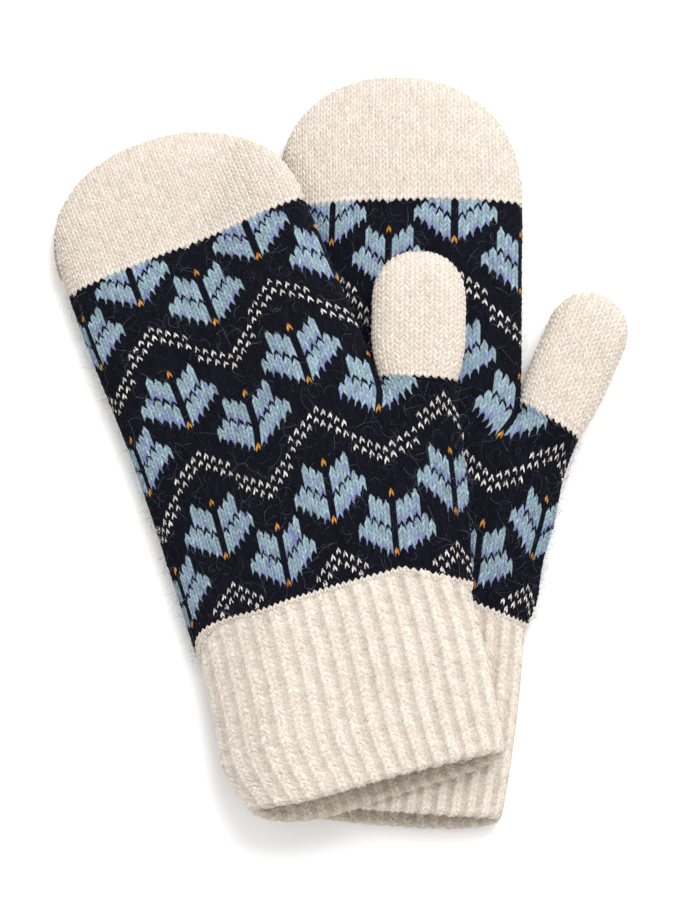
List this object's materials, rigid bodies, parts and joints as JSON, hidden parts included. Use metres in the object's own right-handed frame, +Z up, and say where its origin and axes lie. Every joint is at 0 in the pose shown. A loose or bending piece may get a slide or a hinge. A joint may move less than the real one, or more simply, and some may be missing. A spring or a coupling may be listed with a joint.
{
  "type": "knitted mittens",
  "caption": "Pair of lined knitted mittens lying flat and overlapping, with a patterned dark hand, plain pale fingertips and thumb, and a folded ribbed cuff.",
  "frame": {"origin": "on the surface that the pair lies on, under the middle of its bounding box", "axes": "+Y along the pair from the cuffs to the fingertips, +X to the thumbs' side, +Z up through the thickness"},
  "size_m": [0.2182, 0.2872, 0.0326],
  "materials": {
    "navy_jacquard": "navy wool stocking stitch with pale blue, gold and white stranded pattern",
    "ivory_knit": "plain ivory wool stocking stitch, slightly fuzzy",
    "ivory_rib": "ivory wool rib, slightly fuzzy",
    "lining_knit": "fine soft ivory knit, matt",
    "seam_yarn": "ivory wool yarn"
  },
  "bodies": {
    "right_mitten": {"right_hand_shell": "navy_jacquard", "right_fingertip_cap": "ivory_knit", "right_fingertip_seam": "seam_yarn", "right_hand_lining": "lining_knit", "right_cuff_rib": "ivory_rib", "right_cuff_hem": "ivory_rib", "right_cuff_facing": "ivory_rib", "right_wrist_seam": "seam_yarn", "right_lining_seam": "seam_yarn"},
    "right_thumb": {"right_thumb_base": "navy_jacquard", "right_thumb_cover": "ivory_knit", "right_thumb_lining": "lining_knit"},
    "left_mitten": {"left_hand_shell": "navy_jacquard", "left_fingertip_cap": "ivory_knit", "left_fingertip_seam": "seam_yarn", "left_hand_lining": "lining_knit", "left_cuff_rib": "ivory_rib", "left_cuff_hem": "ivory_rib", "left_cuff_facing": "ivory_rib", "left_wrist_seam": "seam_yarn", "left_lining_seam": "seam_yarn"},
    "left_thumb": {"left_thumb_base": "navy_jacquard", "left_thumb_cover": "ivory_knit", "left_thumb_lining": "lining_knit"}
  },
  "joints": [
    {"name": "left_mitten_lift", "type": "slide", "parent": "right_mitten", "child": "left_mitten", "axis": [0, 0, 1], "range_m": [0, 0.12]},
    {"name": "right_thumb_swing", "type": "hinge", "parent": "right_mitten", "child": "right_thumb", "pos_m": [0.0788, 0.00874, 0.007], "axis": [0, 0, 1], "range_deg": [-28, 12]},
    {"name": "left_thumb_swing", "type": "hinge", "parent": "left_mitten", "child": "left_thumb", "pos_m": [0.03052, 0.02304, 0.0236], "axis": [0, 0, 1], "range_deg": [-30, 12]}
  ]
}
